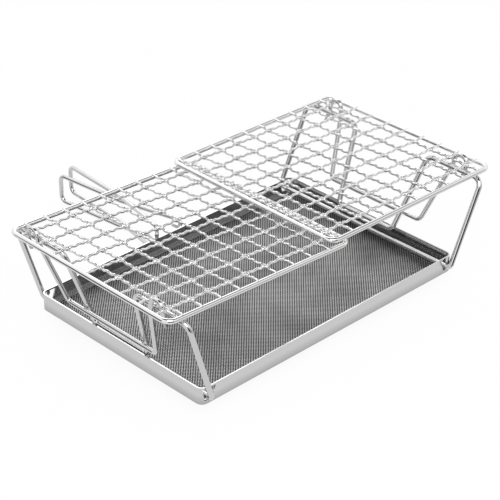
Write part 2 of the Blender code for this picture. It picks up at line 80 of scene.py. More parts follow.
class GrillLegSizes(bpy.types.PropertyGroup):
    """The leg frames and the hook wires on them."""

    left_axis_x: bpy.props.FloatProperty(
        name="Left axis",
        description="From the middle of the tray to the left leg frame's fold axis",
        default=0.10142,
        unit="LENGTH",
    )
    right_axis_x: bpy.props.FloatProperty(
        name="Right axis",
        description="From the middle of the tray to the right leg frame's fold axis",
        default=0.10025,
        unit="LENGTH",
    )
    axis_height: bpy.props.FloatProperty(
        name="Axis height",
        description="Height of the fold axes over the tray's underside",
        default=0.0048,
        unit="LENGTH",
    )
    left_lean: bpy.props.FloatProperty(
        name="Left lean",
        description="How far the open left leg frame leans outward",
        default=math.radians(17.0),
        subtype="ANGLE",
    )
    right_lean: bpy.props.FloatProperty(
        name="Right lean",
        description="How far the open right leg frame leans outward",
        default=math.radians(25.5),
        subtype="ANGLE",
    )
    length: bpy.props.FloatProperty(
        name="Length",
        description="From the fold axis to the top run",
        default=0.0583,
        unit="LENGTH",
    )
    wire: bpy.props.FloatProperty(
        name="Leg wire",
        description="Diameter of the leg frames' wire",
        default=0.0035,
        unit="LENGTH",
    )
    half_width: bpy.props.FloatProperty(
        name="Half width",
        description="From the middle to an upright",
        default=0.074,
        unit="LENGTH",
    )
    top_bend: bpy.props.FloatProperty(
        name="Top bend",
        description="Radius of the bends above the uprights",
        default=0.006,
        unit="LENGTH",
    )
    foot_bend: bpy.props.FloatProperty(
        name="Foot bend",
        description="Radius of the bends at the slots",
        default=0.0026,
        unit="LENGTH",
    )
    inner_top_half: bpy.props.FloatProperty(
        name="Inner loop, top",
        description="Half the inner loop's width at the top run",
        default=0.0306,
        unit="LENGTH",
    )
    inner_foot_half: bpy.props.FloatProperty(
        name="Inner loop, foot",
        description="Half the inner loop's width at its foot",
        default=0.023,
        unit="LENGTH",
    )
    inner_foot_rise: bpy.props.FloatProperty(
        name="Inner foot rise",
        description="From the fold axis to the inner loop's foot",
        default=0.006,
        unit="LENGTH",
    )
    inner_top_bend: bpy.props.FloatProperty(
        name="Inner top bend",
        description="Radius of the inner loop's upper bends",
        default=0.0056,
        unit="LENGTH",
    )
    inner_foot_bend: bpy.props.FloatProperty(
        name="Inner foot bend",
        description="Radius of the inner loop's lower bends",
        default=0.0036,
        unit="LENGTH",
    )
    hook_wire: bpy.props.FloatProperty(
        name="Hook wire",
        description="Diameter of the hook wires",
        default=0.003,
        unit="LENGTH",
    )
    hook_bar_rise: bpy.props.FloatProperty(
        name="Hook bar rise",
        description="From the fold axis to the hook wire's cross bar",
        default=0.0184,
        unit="LENGTH",
    )
    hook_bar_half: bpy.props.FloatProperty(
        name="Hook bar",
        description="Half the cross bar's length",
        default=0.0382,
        unit="LENGTH",
    )
    hook_top_half: bpy.props.FloatProperty(
        name="Hook spread",
        description="Half the distance between the hooks at the top run",
        default=0.0475,
        unit="LENGTH",
    )
    hook_shoulder_rise: bpy.props.FloatProperty(
        name="Hook shoulder",
        description="From the top run to where a hook bends inward",
        default=0.0012,
        unit="LENGTH",
    )
    hook_crest_rise: bpy.props.FloatProperty(
        name="Hook crest",
        description="From the top run to the crest of a hook",
        default=0.0084,
        unit="LENGTH",
    )
    hook_crest_out: bpy.props.FloatProperty(
        name="Hook crest offset",
        description="How far a crest lies outside the leg frame's plane",
        default=0.0013,
        unit="LENGTH",
    )
    hook_offset: bpy.props.FloatProperty(
        name="Hook offset",
        description="How far the hook wire lies outside the leg frame's plane",
        default=0.00355,
        unit="LENGTH",
    )
    hook_span: bpy.props.FloatProperty(
        name="Hook span",
        description="Width of a hook's arch",
        default=0.0083,
        unit="LENGTH",
    )
    hook_tail_drop: bpy.props.FloatProperty(
        name="Hook tail",
        description="How far a hook's end reaches below the top run",
        default=0.0066,
        unit="LENGTH",
    )
    hook_bend: bpy.props.FloatProperty(
        name="Hook bend",
        description="Radius of the arch's bends",
        default=0.0036,
        unit="LENGTH",
    )


class GrillNetSizes(bpy.types.PropertyGroup):
    """The two nets of crimped wire."""

    left_droop: bpy.props.FloatProperty(
        name="Left droop",
        description="How far the left net slopes down to the middle",
        default=math.radians(2.67),
        subtype="ANGLE",
    )
    right_rise: bpy.props.FloatProperty(
        name="Right rise",
        description="How far the right net slopes up to lie on the left one",
        default=math.radians(1.1698),
        subtype="ANGLE",
    )
    frame_wire: bpy.props.FloatProperty(
        name="Frame wire",
        description="Diameter of the nets' frame wire",
        default=0.0032,
        unit="LENGTH",
    )
    wire: bpy.props.FloatProperty(
        name="Crimped wire",
        description="Diameter of the crimped wires",
        default=0.0016,
        unit="LENGTH",
    )
    bar_rise: bpy.props.FloatProperty(
        name="Bar rise",
        description="From a leg's top run up to the middle of the net's frame wire",
        default=0.00365,
        unit="LENGTH",
    )
    mesh_rise: bpy.props.FloatProperty(
        name="Mesh rise",
        description="From a leg's top run up to the middle of the weave",
        default=0.00485,
        unit="LENGTH",
    )
    column_pitch: bpy.props.FloatProperty(
        name="Column pitch",
        description="Distance between the cross wires",
        default=0.01406,
        unit="LENGTH",
    )
    row_pitch: bpy.props.FloatProperty(
        name="Row pitch",
        description="Distance between the long wires",
        default=0.01438,
        unit="LENGTH",
    )
    columns: bpy.props.IntProperty(
        name="Columns", description="Cross wires of one net", default=10, min=2
    )
    rows: bpy.props.IntProperty(
        name="Rows", description="Long wires of one net", default=9, min=2
    )
    outer_margin: bpy.props.FloatProperty(
        name="Outer margin",
        description="From the outer end bar to the first cross wire",
        default=0.0105,
        unit="LENGTH",
    )
    inner_margin: bpy.props.FloatProperty(
        name="Inner margin",
        description="From the last cross wire to the inner end bar",
        default=0.003,
        unit="LENGTH",
    )
    side_margin: bpy.props.FloatProperty(
        name="Side margin",
        description="From the first long wire to the frame's long bar",
        default=0.01004,
        unit="LENGTH",
    )
    overhang: bpy.props.FloatProperty(
        name="Overhang",
        description="From a leg's top run out to the net's end bar",
        default=0.011,
        unit="LENGTH",
    )
    shift_y: bpy.props.FloatProperty(
        name="Shift",
        description="How far the nets sit behind the tray's middle, or before it if negative",
        default=-0.0028,
        unit="LENGTH",
    )
    corner: bpy.props.FloatProperty(
        name="Frame corner",
        description="Radius of the frames' corners",
        default=0.0058,
        unit="LENGTH",
    )
    end_stop: bpy.props.FloatProperty(
        name="Wire end",
        description="How far short of the frame wire's middle a crimped wire's end is welded",
        default=0.0002,
        unit="LENGTH",
    )
    crimp_height: bpy.props.FloatProperty(
        name="Crimp height",
        description="How far a crimp lifts or drops the wire's middle",
        default=0.00081,
        unit="LENGTH",
    )
    crimp_ripple: bpy.props.FloatProperty(
        name="Ripple height",
        description="The same halfway between two crossings",
        default=0.00024,
        unit="LENGTH",
    )
    crimps: bpy.props.IntProperty(
        name="Half waves per cell",
        description="Half waves of the wire from one crossing to the next, an odd number",
        default=5,
        min=1,
    )


class GrillHandleSizes(bpy.types.PropertyGroup):
    """The two wire hairpins of the handle."""

    wire: bpy.props.FloatProperty(
        name="Handle wire",
        description="Diameter of the hairpins' wire",
        default=0.0028,
        unit="LENGTH",
    )
    pin_half: bpy.props.FloatProperty(
        name="Pin offset",
        description="From the middle of the tray to a hairpin's upright axis",
        default=0.01,
        unit="LENGTH",
    )
    pin_y: bpy.props.FloatProperty(
        name="Pin distance",
        description="From the tray's middle back to the upright axes",
        default=0.0742,
        unit="LENGTH",
    )
    reach: bpy.props.FloatProperty(
        name="Reach",
        description="From a hairpin's axis to its closed end",
        default=0.1008,
        unit="LENGTH",
    )
    loop_height: bpy.props.FloatProperty(
        name="Loop height",
        description="Distance between a hairpin's two bars",
        default=0.019,
        unit="LENGTH",
    )
    middle_height: bpy.props.FloatProperty(
        name="Middle height",
        description="Height of the handle's middle over the tray's underside",
        default=0.0055,
        unit="LENGTH",
    )
    step: bpy.props.FloatProperty(
        name="Step",
        description="How far the left hairpin sits above the middle, and the right one below",
        default=0.0016,
        unit="LENGTH",
    )
    elbow_reach: bpy.props.FloatProperty(
        name="Elbow reach",
        description="From a hairpin's axis to the slight bend where the two cross",
        default=0.0466,
        unit="LENGTH",
    )
    elbow_out: bpy.props.FloatProperty(
        name="Elbow offset",
        description="How far that bend lies beside the straight line",
        default=0.0034,
        unit="LENGTH",
    )
    elbow_bend: bpy.props.FloatProperty(
        name="Elbow bend",
        description="Radius of that bend",
        default=0.03,
        unit="LENGTH",
    )
    end_bend: bpy.props.FloatProperty(
        name="End bend",
        description="Radius of the bends at the closed end",
        default=0.0042,
        unit="LENGTH",
    )
    pin_bend: bpy.props.FloatProperty(
        name="Pin bend",
        description="Radius of the bends above and below the ears",
        default=0.0026,
        unit="LENGTH",
    )
    pin_low: bpy.props.FloatProperty(
        name="Lower pin end",
        description="Height of the lower pin's tip",
        default=0.0022,
        unit="LENGTH",
    )
    pin_high: bpy.props.FloatProperty(
        name="Upper pin end",
        description="Height of the upper pin's tip",
        default=0.0082,
        unit="LENGTH",
    )
    left_swing: bpy.props.FloatProperty(
        name="Left swing",
        description="Turn of the left hairpin from straight back",
        default=math.radians(-6.9),
        subtype="ANGLE",
    )
    right_swing: bpy.props.FloatProperty(
        name="Right swing",
        description="Turn of the right hairpin from straight back",
        default=math.radians(9.6),
        subtype="ANGLE",
    )


class GrillFinish(bpy.types.PropertyGroup):
    """Colours as sRGB hex, and the sizes of the surface patterns."""

    wire_colour: bpy.props.StringProperty(
        name="Wire", description="Colour of the drawn leg and handle wire", default="DADADA"
    )
    net_colour: bpy.props.StringProperty(
        name="Net", description="Colour of the crimped net wire", default="EFEFEF"
    )
    sheet_colour: bpy.props.StringProperty(
        name="Sheet", description="Colour of the tray's sheet", default="DDDDDD"
    )
    cloth_colour: bpy.props.StringProperty(
        name="Cloth", description="Colour of the woven floor's wire", default="D8D8D8"
    )
    # Painted shade: the near-black colour between the cloth's wires stands in for the shade seen
    # through its holes
    cloth_hole_shade_colour: bpy.props.StringProperty(
        name="Cloth holes", description="Colour between the woven floor's wires", default="0A0A0A"
    )
    cloth_pitch: bpy.props.FloatProperty(
        name="Cloth pitch",
        description="Distance between the woven floor's wires as drawn",
        default=0.00142,
        unit="LENGTH",
    )
    drawing_line: bpy.props.FloatProperty(
        name="Drawing lines",
        description="Width of the fine lines that drawing leaves along a wire",
        default=0.00025,
        unit="LENGTH",
    )
    brush_line: bpy.props.FloatProperty(
        name="Brush lines",
        description="Width of the fine lines that brushing leaves on the sheet",
        default=0.0003,
        unit="LENGTH",
    )


class GrillStage(bpy.types.PropertyGroup):
    """Floor, what the metal mirrors of it, and camera."""

    floor_height: bpy.props.FloatProperty(
        name="Floor height",
        description="The floor, just under the handle's lower bars",
        default=-0.0072,
        unit="LENGTH",
    )
    floor_colour: bpy.props.StringProperty(
        name="Floor", description="Colour of the floor", default="FAFAFA"
    )
    mirrored_level: bpy.props.FloatProperty(
        name="Mirrored floor",
        description="How bright the floor is in what the metal mirrors",
        default=0.8,
    )
    azimuth: bpy.props.FloatProperty(
        name="Camera azimuth",
        description="Turn of the camera round the grill",
        default=math.radians(-44.408),
        subtype="ANGLE",
    )
    elevation: bpy.props.FloatProperty(
        name="Camera elevation",
        description="Height of the camera above the horizon",
        default=math.radians(30.589),
        subtype="ANGLE",
    )
    roll: bpy.props.FloatProperty(
        name="Camera roll",
        description="Turn of the camera about its own axis",
        default=math.radians(0.367),
        subtype="ANGLE",
    )
    distance: bpy.props.FloatProperty(
        name="Camera distance",
        description="From the camera to its target",
        default=1.108985,
        unit="LENGTH",
    )
    focal: bpy.props.FloatProperty(
        name="Focal length",
        description="Focal length in millimetres on a 36 mm sensor",
        default=131.52,
        unit="CAMERA",
    )
    target: bpy.props.FloatVectorProperty(
        name="Camera target",
        description="The point in the middle of the picture",
        default=(0.003155, 0.003648, 0.024189),
        subtype="XYZ",
    )


def linear(hex_colour):
    """An sRGB hex colour as linear red, green, blue and alpha, by the standard's own curve."""
    channels = [int(hex_colour[i : i + 2], 16) / 255 for i in (0, 2, 4)]
    curved = [c / 12.92 if c <= 0.04045 else ((c + 0.055) / 1.055) ** 2.4 for c in channels]
    return (*curved, 1.0)


def add_node(tree, kind, values=None, links=None, **settings):
    """Adds a node, then sets its properties, its sockets' values and what feeds them."""
    node = tree.nodes.new(kind)
    for key, value in settings.items():
        setattr(node, key, value)
    for socket, value in (values or {}).items():
        node.inputs[socket].default_value = value
    for socket, (source, output) in (links or {}).items():
        tree.links.new(source.outputs[output], node.inputs[socket])
    return node


def new_material(name):
    """An empty material, and the tree that its nodes go into."""
    material = bpy.data.materials.new(name)
    material.use_nodes = True
    material.node_tree.nodes.clear()
    return material, material.node_tree


def close_material(tree, shader, socket="BSDF"):
    """Adds the output, fed by the shader."""
    add_node(tree, "ShaderNodeOutputMaterial", None, {"Surface": (shader, socket)})


def drawn_steel(name, colour, roughness):
    """Stainless wire, drawn through a die: bright, with fine lines along its length and a
    roughness that wanders a little, which breaks up its long highlights."""
    finish = bpy.context.scene.grill_finish
    # Lines some 8 mm long, and patches of some 6 mm that are a little smoother or rougher
    lines_per_mm = 0.12
    patches_per_mm = 0.16
    smoother, rougher = 0.05, 0.06
    material, tree = new_material(name)
    along = add_node(tree, "ShaderNodeUVMap", uv_map="wire_mm")
    stretch = add_node(
        tree,
        "ShaderNodeMapping",
        {"Scale": (lines_per_mm, MM / finish.drawing_line, 1.0)},
        {"Vector": (along, "UV")},
    )
    lines = add_node(
        tree,
        "ShaderNodeTexNoise",
        {"Scale": 1.0, "Detail": 3.0, "Roughness": 0.6},
        {"Vector": (stretch, "Vector")},
    )
    patches = add_node(
        tree,
        "ShaderNodeTexNoise",
        {"Scale": patches_per_mm, "Detail": 2.0},
        {"Vector": (along, "UV")},
    )
    rough = add_node(
        tree,
        "ShaderNodeMapRange",
        {
            "From Min": 0.3,
            "From Max": 0.7,
            "To Min": roughness - smoother,
            "To Max": roughness + rougher,
        },
        {"Value": (patches, "Fac")},
    )
    bump = add_node(
        tree,
        "ShaderNodeBump",
        {"Strength": 0.12, "Distance": 0.0001},
        {"Height": (lines, "Fac")},
    )
    shader = add_node(
        tree,
        "ShaderNodeBsdfPrincipled",
        {"Base Color": linear(colour), "Metallic": 1.0},
        {"Roughness": (rough, "Result"), "Normal": (bump, "Normal")},
    )
    close_material(tree, shader)
    return material


def brushed_sheet(name, colour):
    """Stainless sheet, rolled and brushed along the walls: satin, with fine level lines that
    smear what it reflects."""
    finish = bpy.context.scene.grill_finish
    brush_length = 0.03
    material, tree = new_material(name)
    place = add_node(tree, "ShaderNodeTexCoord")
    stretch = add_node(
        tree,
        "ShaderNodeMapping",
        {"Scale": (1.0 / brush_length, 1.0 / brush_length, 1.0 / finish.brush_line)},
        {"Vector": (place, "Object")},
    )
    lines = add_node(
        tree,
        "ShaderNodeTexNoise",
        {"Scale": 1.0, "Detail": 3.0, "Roughness": 0.65},
        {"Vector": (stretch, "Vector")},
    )
    rough = add_node(
        tree,
        "ShaderNodeMapRange",
        {"From Min": 0.25, "From Max": 0.75, "To Min": 0.12, "To Max": 0.24},
        {"Value": (lines, "Fac")},
    )
    bump = add_node(
        tree,
        "ShaderNodeBump",
        {"Strength": 0.16, "Distance": 0.0001},
        {"Height": (lines, "Fac")},
    )
    # Painted shade: the walls darken a little over their lowest 6 mm, near the floor
    axes = add_node(tree, "ShaderNodeSeparateXYZ", None, {"Vector": (place, "Object")})
    foot = add_node(
        tree,
        "ShaderNodeMapRange",
        {"From Min": 0.0005, "From Max": 0.006, "To Min": 0.7, "To Max": 1.0},
        {"Value": (axes, "Z")},
    )
    # Painted shade: the inner faces, whose normals point to the middle of the tray, are darkened
    # as if shaded by the nets and mirroring the dark cloth
    outward = add_node(
        tree,
        "ShaderNodeVectorMath",
        None,
        {0: (place, "Object"), 1: (place, "Normal")},
        operation="DOT_PRODUCT",
    )
    inner = add_node(
        tree,
        "ShaderNodeMapRange",
        {"From Min": -0.02, "From Max": 0.0, "To Min": 0.55, "To Max": 1.0},
        {"Value": (outward, "Value")},
    )
    # The painted shade at the foot and on the inner faces together scale the sheet's colour
    painted_wall_shade = add_node(
        tree,
        "ShaderNodeMath",
        None,
        {0: (foot, "Result"), 1: (inner, "Result")},
        operation="MULTIPLY",
    )
    shade = add_node(
        tree,
        "ShaderNodeVectorMath",
        {0: linear(colour)[:3]},
        {"Scale": (painted_wall_shade, "Value")},
        operation="SCALE",
    )
    shader = add_node(
        tree,
        "ShaderNodeBsdfPrincipled",
        {"Metallic": 1.0},
        {
            "Base Color": (shade, "Vector"),
            "Roughness": (rough, "Result"),
            "Normal": (bump, "Normal"),
        },
    )
    close_material(tree, shader)
    return material


def woven_cloth(name):
    """Stainless wire cloth in plain weave, laid at 45 degrees to the tray: light wires with
    painted shade between them, dark where the holes would show the shade beneath and down the
    wires' sides, which reads as fine dark and light stripes. The real pitch of some 0.6 mm is too
    fine to show, so the weave is drawn at cloth_pitch. Wide smudges darken it in places."""
    finish = bpy.context.scene.grill_finish
    smudge_size = 0.045
    material, tree = new_material(name)
    place = add_node(tree, "ShaderNodeTexCoord")
    turns = math.pi / finish.cloth_pitch
    phase = add_node(
        tree,
        "ShaderNodeMapping",
        {"Rotation": (0.0, 0.0, math.pi / 4), "Scale": (turns, turns, turns)},
        {"Vector": (place, "Object")},
    )
    axes = add_node(tree, "ShaderNodeSeparateXYZ", None, {"Vector": (phase, "Vector")})
    waves = {
        axis: add_node(tree, "ShaderNodeMath", None, {0: (axes, axis)}, operation="SINE")
        for axis in "XY"
    }
    crossing = add_node(
        tree,
        "ShaderNodeMath",
        None,
        {0: (waves["X"], "Value"), 1: (waves["Y"], "Value")},
        operation="MULTIPLY",
    )
    # Each way's wires rise over every other crossing, and one way's lie a little lower
    tops = []
    for axis, swing, rise in (("X", 0.5, 0.5), ("Y", -0.5, 0.38)):
        crown = add_node(
            tree, "ShaderNodeMath", None, {0: (waves[axis], "Value")}, operation="ABSOLUTE"
        )
        lift = add_node(
            tree,
            "ShaderNodeMath",
            {1: swing, 2: rise},
            {0: (crossing, "Value")},
            operation="MULTIPLY_ADD",
        )
        top = add_node(
            tree,
            "ShaderNodeMath",
            None,
            {0: (crown, "Value"), 1: (lift, "Value")},
            operation="MULTIPLY",
        )
        tops.append(top)
    height = add_node(
        tree,
        "ShaderNodeMath",
        None,
        {0: (tops[0], "Value"), 1: (tops[1], "Value")},
        operation="MAXIMUM",
    )
    # Painted shade: where the weave lies low, between the wires and down their sides, the colour
    # goes to the dark hole colour
    shade = add_node(
        tree,
        "ShaderNodeMapRange",
        {"From Min": 0.33, "From Max": 0.62},
        {"Value": (height, "Value")},
    )
    colour = add_node(
        tree,
        "ShaderNodeMix",
        {
            MIX_COLOUR_A: linear(finish.cloth_hole_shade_colour),
            MIX_COLOUR_B: linear(finish.cloth_colour),
        },
        {MIX_FACTOR: (shade, "Result")},
        data_type="RGBA",
    )
    smudges = add_node(
        tree,
        "ShaderNodeTexNoise",
        {"Scale": 1.0 / smudge_size, "Detail": 3.0, "Roughness": 0.55},
        {"Vector": (place, "Object")},
    )
    dimming = add_node(
        tree,
        "ShaderNodeMapRange",
        {"From Min": 0.35, "From Max": 0.62, "To Min": 0.62, "To Max": 1.0},
        {"Value": (smudges, "Fac")},
    )
    dimmed = add_node(
        tree,
        "ShaderNodeVectorMath",
        None,
        {0: (colour, MIX_COLOUR_RESULT), "Scale": (dimming, "Result")},
        operation="SCALE",
    )
    bump = add_node(
        tree,
        "ShaderNodeBump",
        {"Strength": 0.7, "Distance": 0.0003},
        {"Height": (height, "Value")},
    )
    shader = add_node(
        tree,
        "ShaderNodeBsdfPrincipled",
        {"Metallic": 0.85, "Roughness": 0.42},
        {"Base Color": (dimmed, "Vector"), "Normal": (bump, "Normal")},
    )
    close_material(tree, shader)
    return material


def finish_material(name):
    """The material of that name, made when it is first asked for."""
    made = bpy.data.materials.get(name)
    if made:
        return made
    finish = bpy.context.scene.grill_finish
    if name == CLOTH:
        return woven_cloth(name)
    if name == SHEET:
        return brushed_sheet(name, finish.sheet_colour)
    colour = finish.net_colour if name == NET_WIRE else finish.wire_colour
    return drawn_steel(name, colour, WIRE_ROUGHNESS[name])


def bent(corners):
    """A path through corners of (point, bend radius), with an arc at each bend. An open path's
    ends have no radius."""
    path = []
    count = len(corners)
    for index, (corner, radius) in enumerate(corners):
        if radius == 0:
            path.append(corner)
            continue
        back = (corners[index - 1][0] - corner).normalized()
        ahead = (corners[(index + 1) % count][0] - corner).normalized()
        half = back.angle(ahead) / 2
        middle = corner + (back + ahead).normalized() * (radius / math.sin(half))
        start = corner + back * (radius / math.tan(half)) - middle
        finish = corner + ahead * (radius / math.tan(half)) - middle
        turn = start.angle(finish)
        steps = max(2, round(turn / BEND_STEP))
        for step in range(steps + 1):
            share = step / steps
            near = math.sin((1 - share) * turn) / math.sin(turn)
            far = math.sin(share * turn) / math.sin(turn)
            path.append(middle + start * near + finish * far)
    return path


def wire_mesh(name, path, diameter, closed):
    """A smooth round wire along a path. Its UV map holds millimetres, along and around."""
    radius = diameter / 2
    bm = bmesh.new()
    uv = bm.loops.layers.uv.new("wire_mm")
    count = len(path)
    rings = []
    lengths = [0.0]
    side_way = None
    for index, point in enumerate(path):
        before = path[index - 1] if closed or index else None
        after = path[(index + 1) % count] if closed or index < count - 1 else None
        into = (point - before).normalized() if before else None
        out = (after - point).normalized() if after else None
        along = ((into or out) + (out or into)).normalized()
        if side_way is None:
            side_way = along.orthogonal().normalized()
        side_way = (side_way - along * side_way.dot(along)).normalized()
        up_way = along.cross(side_way)
        # At a bend the ring lies across the bisector, so it is stretched to keep the wire
        # round, to twice its width at most
        fold = (into or out).cross(out or into)
        stretch = 1 / max(0.5, math.sqrt((1 + (into or out).dot(out or into)) / 2))
        across = along.cross(fold).normalized() if fold.length > 1e-6 else None
        ring = []
        for step in range(WIRE_SIDES):
            angle = math.tau * step / WIRE_SIDES
            offset = (side_way * math.cos(angle) + up_way * math.sin(angle)) * radius
            if across is not None:
                offset += across * (offset.dot(across) * (stretch - 1))
            ring.append(bm.verts.new(point + offset))
        rings.append(ring)
        if index:
            lengths.append(lengths[-1] + (point - path[index - 1]).length)
    if closed:
        lengths.append(lengths[-1] + (path[0] - path[-1]).length)
    for index in range(count if closed else count - 1):
        near = rings[index]
        far = rings[(index + 1) % count]
        for step in range(WIRE_SIDES):
            nearby = (step + 1) % WIRE_SIDES
            face = bm.faces.new((near[step], near[nearby], far[nearby], far[step]))
            face.smooth = True
            for loop, end, turn in zip(face.loops, (0, 0, 1, 1), (0, 1, 1, 0)):
                around = math.pi * diameter * (step + turn) / WIRE_SIDES
                loop[uv].uv = (lengths[index + end] / MM, around / MM)
    if not closed:
        for ring in (rings[0][::-1], rings[-1]):
            face = bm.faces.new(ring)
            for loop in face.loops:
                loop[uv].uv = (loop.vert.co.x / MM, loop.vert.co.y / MM)
    bmesh.ops.recalc_face_normals(bm, faces=bm.faces)
    mesh = bpy.data.meshes.new(name)
    bm.to_mesh(mesh)
    bm.free()
    return mesh


def add_wire(name, path, diameter, place, body, material, node, closed=False):
    """Adds a wire in place of a node: put in its place, finished, and riding on its body."""
    mesh = wire_mesh(name, path, diameter, closed)
    mesh.transform(place)
    mesh.materials.append(finish_material(material))
    piece = bpy.data.objects.new(name, mesh)
    bpy.context.scene.collection.objects.link(piece)
    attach(piece, body)
    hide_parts(node)


def leg_lean(side):
    """How far that leg frame leans outward."""
    legs = bpy.context.scene.grill_legs
    return legs.left_lean if side == LEFT else legs.right_lean


def leg_place(side):
    """A leg frame's own frame: its axis at the origin, +Z along the leg, +X to the right."""
    legs = bpy.context.scene.grill_legs
    axis_x = legs.left_axis_x if side == LEFT else legs.right_axis_x
    place = Matrix.Translation((side * axis_x, 0.0, legs.axis_height))
    return place @ Matrix.Rotation(side * leg_lean(side), 4, "Y")


def net_tilt(side):
    """How far that net slopes up towards the middle."""
    nets = bpy.context.scene.grill_nets
    return -nets.left_droop if side == LEFT else nets.right_rise


def net_place(side):
    """A net's own frame, level in the net's plane, with the leg's top run at the origin."""
    run = Matrix.Translation((0.0, 0.0, bpy.context.scene.grill_legs.length))
    turn = Matrix.Rotation(-side * leg_lean(side) + side * net_tilt(side), 4, "Y")
    return leg_place(side) @ run @ turn


def net_bounds(side):
    """The net frame's outer and inner bar, and its front and rear bar, in the net's frame."""
    nets = bpy.context.scene.grill_nets
    outer = side * nets.overhang
    length = nets.outer_margin + (nets.columns - 1) * nets.column_pitch + nets.inner_margin
    half = (nets.rows - 1) * nets.row_pitch / 2 + nets.side_margin
    return outer, outer - side * length, nets.shift_y - half, nets.shift_y + half


def corner_inset(distance):
    """How far a net frame's corner has curved inward, at this distance from its inner bar."""
    corner = bpy.context.scene.grill_nets.corner
    gap = max(0.0, corner - distance)
    return corner - math.sqrt(corner**2 - gap**2)


def crimped_path(start, finish, crossings, pitch, first_up):
    """Heights along a crimped wire. It rises and falls in waves, highest at the crossings, and
    each crossing falls on a crest or a trough, so that the next one is the other way up."""
    nets = bpy.context.scene.grill_nets
    travel = finish - start
    samples = max(2, round(travel / pitch * nets.crimps * CRIMP_SAMPLES))
    sign = 1 if first_up else -1
    path = []
    for index in range(samples + 1):
        run = start + travel * index / samples
        cell = (run - crossings) / pitch * math.pi
        crossing = math.cos(cell) ** 4
        height = nets.crimp_ripple + (nets.crimp_height - nets.crimp_ripple) * crossing
        # The waves fade at both ends, where the wire lies flat on the frame wire
        ends = min(run - start, finish - run) / (nets.wire * FADE_LENGTH)
        fade = min(1.0, max(0.0, ends - FLAT_SHARE))
        path.append((run, sign * height * math.cos(cell * nets.crimps) * fade))
    return path


class GRILL_OT_leg_frames(bpy.types.Operator):
    """Bends the two leg frames, each a closed loop of stout wire"""

    bl_idname = "grill.leg_frames"
    bl_label = "Leg frames"

    def execute(self, context):
        legs = context.scene.grill_legs
        outline = [
            (-legs.half_width, 0.0, legs.foot_bend),
            (legs.half_width, 0.0, legs.foot_bend),
            (legs.half_width, legs.length, legs.top_bend),
            (legs.inner_top_half, legs.length, legs.inner_top_bend),
            (legs.inner_foot_half, legs.inner_foot_rise, legs.inner_foot_bend),
            (-legs.inner_foot_half, legs.inner_foot_rise, legs.inner_foot_bend),
            (-legs.inner_top_half, legs.length, legs.inner_top_bend),
            (-legs.half_width, legs.length, legs.top_bend),
        ]
        for side, word in SIDE_NAMES.items():
            corners = [(Vector((0.0, y, z)), bend) for y, z, bend in outline]
            add_wire(
                word + "_leg_wire",
                bent(corners),
                legs.wire,
                leg_place(side),
                word + "_leg",
                LEG_WIRE,
                word + "_leg_frame",
                closed=True,
            )
        return {"FINISHED"}


class GRILL_OT_hook_wires(bpy.types.Operator):
    """Bends the hook wires, whose ends arch over the nets"""

    bl_idname = "grill.hook_wires"
    bl_label = "Hook wires"

    def execute(self, context):
        legs = context.scene.grill_legs
        spread = (legs.hook_top_half - legs.hook_bar_half) / (legs.length - legs.hook_bar_rise)
        crest = legs.length + legs.hook_crest_rise
        shoulder = legs.length + legs.hook_shoulder_rise
        inner = legs.hook_top_half + spread * legs.hook_crest_rise
        neck = legs.hook_top_half + spread * legs.hook_shoulder_rise
        outer = inner + legs.hook_span
        tail = legs.length - legs.hook_tail_drop
        bend = legs.hook_bend
        half = [
            (legs.hook_offset, outer, tail, 0.0),
            (legs.hook_offset, outer, shoulder, legs.hook_wire),
            (legs.hook_crest_out, outer, crest, bend),
            (legs.hook_crest_out, inner, crest, bend),
            (legs.hook_offset, neck, shoulder, legs.hook_wire),
            (legs.hook_offset, legs.hook_bar_half, legs.hook_bar_rise, bend),
        ]
        outline = half + [(x, -y, z, radius) for x, y, z, radius in reversed(half)]
        for side, word in SIDE_NAMES.items():
            corners = [(Vector((side * x, y, z)), radius) for x, y, z, radius in outline]
            add_wire(
                word + "_hooks",
                bent(corners),
                legs.hook_wire,
                leg_place(side),
                word + "_leg",
                LEG_WIRE,
                word + "_hook_wire",
            )
        return {"FINISHED"}


class GRILL_OT_net_frames(bpy.types.Operator):
    """Bends the two nets' frame wires"""

    bl_idname = "grill.net_frames"
    bl_label = "Net frames"

    def execute(self, context):
        nets = context.scene.grill_nets
        for side, word in SIDE_NAMES.items():
            outer, inner, front, rear = net_bounds(side)
            corners = [
                (Vector((x, y, nets.bar_rise)), nets.corner)
                for x, y in ((outer, front), (outer, rear), (inner, rear), (inner, front))
            ]
            add_wire(
                word + "_net_rim",
                bent(corners),
                nets.frame_wire,
                net_place(side),
                word + "_net",
                NET_WIRE,
                word + "_net_frame",
                closed=True,
            )
        return {"FINISHED"}


class GRILL_OT_net_rows(bpy.types.Operator):
    """Crimps the long wires of both nets"""

    bl_idname = "grill.net_rows"
    bl_label = "Long net wires"

    def execute(self, context):
        nets = context.scene.grill_nets
        for side, word in SIDE_NAMES.items():
            outer, inner, _, rear = net_bounds(side)
            for row in range(nets.rows):
                y = rear - nets.side_margin - row * nets.row_pitch
                waves = crimped_path(
                    nets.end_stop,
                    abs(outer - inner) - nets.end_stop,
                    nets.outer_margin,
                    nets.column_pitch,
                    row % 2 == 1,
                )
                path = [Vector((outer - side * x, y, nets.mesh_rise + z)) for x, z in waves]
                add_wire(
                    f"{word}_long_wire_{row + 1}",
                    path,
                    nets.wire,
                    net_place(side),
                    word + "_net",
                    NET_WIRE,
                    f"{word}_net_row_{row + 1}",
                )
        return {"FINISHED"}


